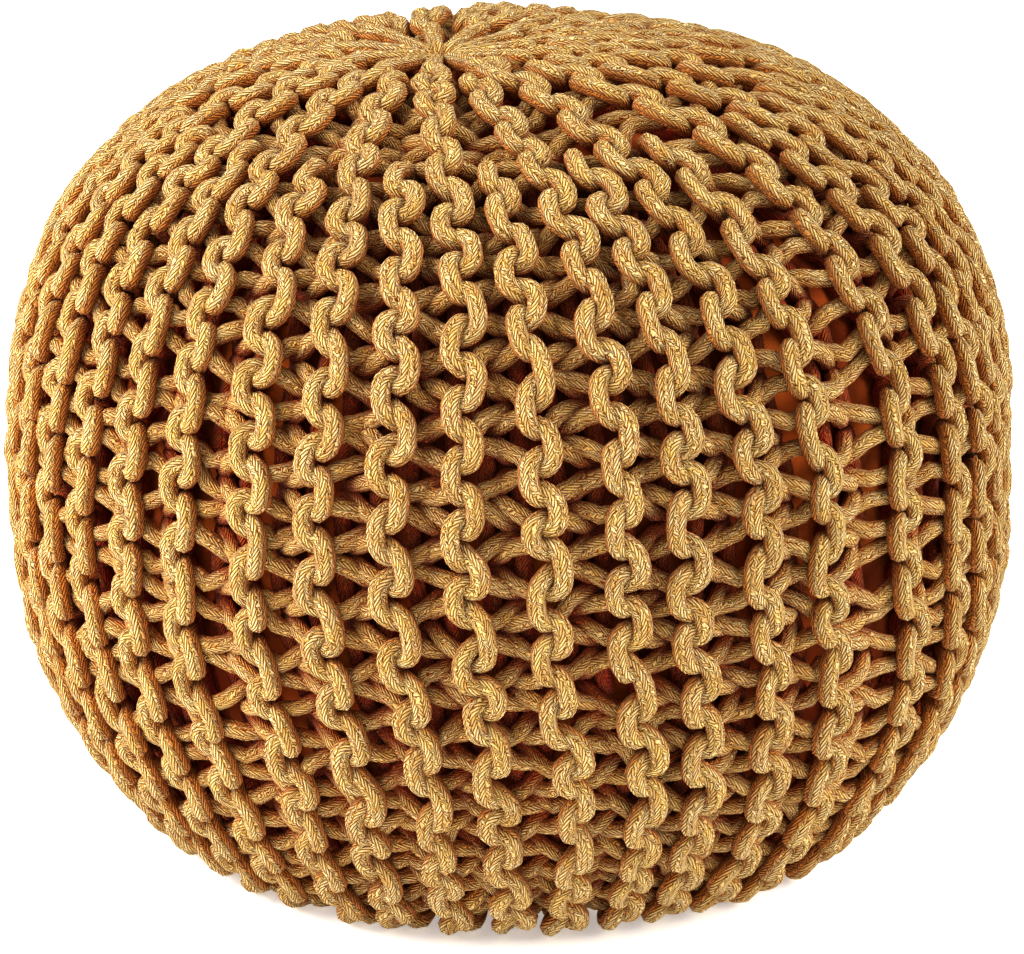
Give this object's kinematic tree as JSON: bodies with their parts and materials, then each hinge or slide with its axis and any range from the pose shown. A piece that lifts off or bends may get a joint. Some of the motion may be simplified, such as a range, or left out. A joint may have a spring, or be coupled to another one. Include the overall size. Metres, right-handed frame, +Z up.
{
  "type": "knitted pouf",
  "caption": "Round floor pouf: a ribbed garter-stitch cover of thick braided cotton cord, drawn together top and bottom, over a filled inner case.",
  "frame": {"origin": "on the floor, under the middle of the pouf", "axes": "+Z up; -Y is the front that faces the viewer; the upper gather lies towards -X"},
  "size_m": [0.5, 0.5, 0.3926],
  "materials": {
    "cotton_cord": "matte braided cotton, mustard",
    "case_cloth": "smooth matte cloth, rust brown"
  },
  "bodies": {
    "root": {"knitted_cover": "cotton_cord", "inner_case": "case_cloth"}
  },
  "joints": []
}
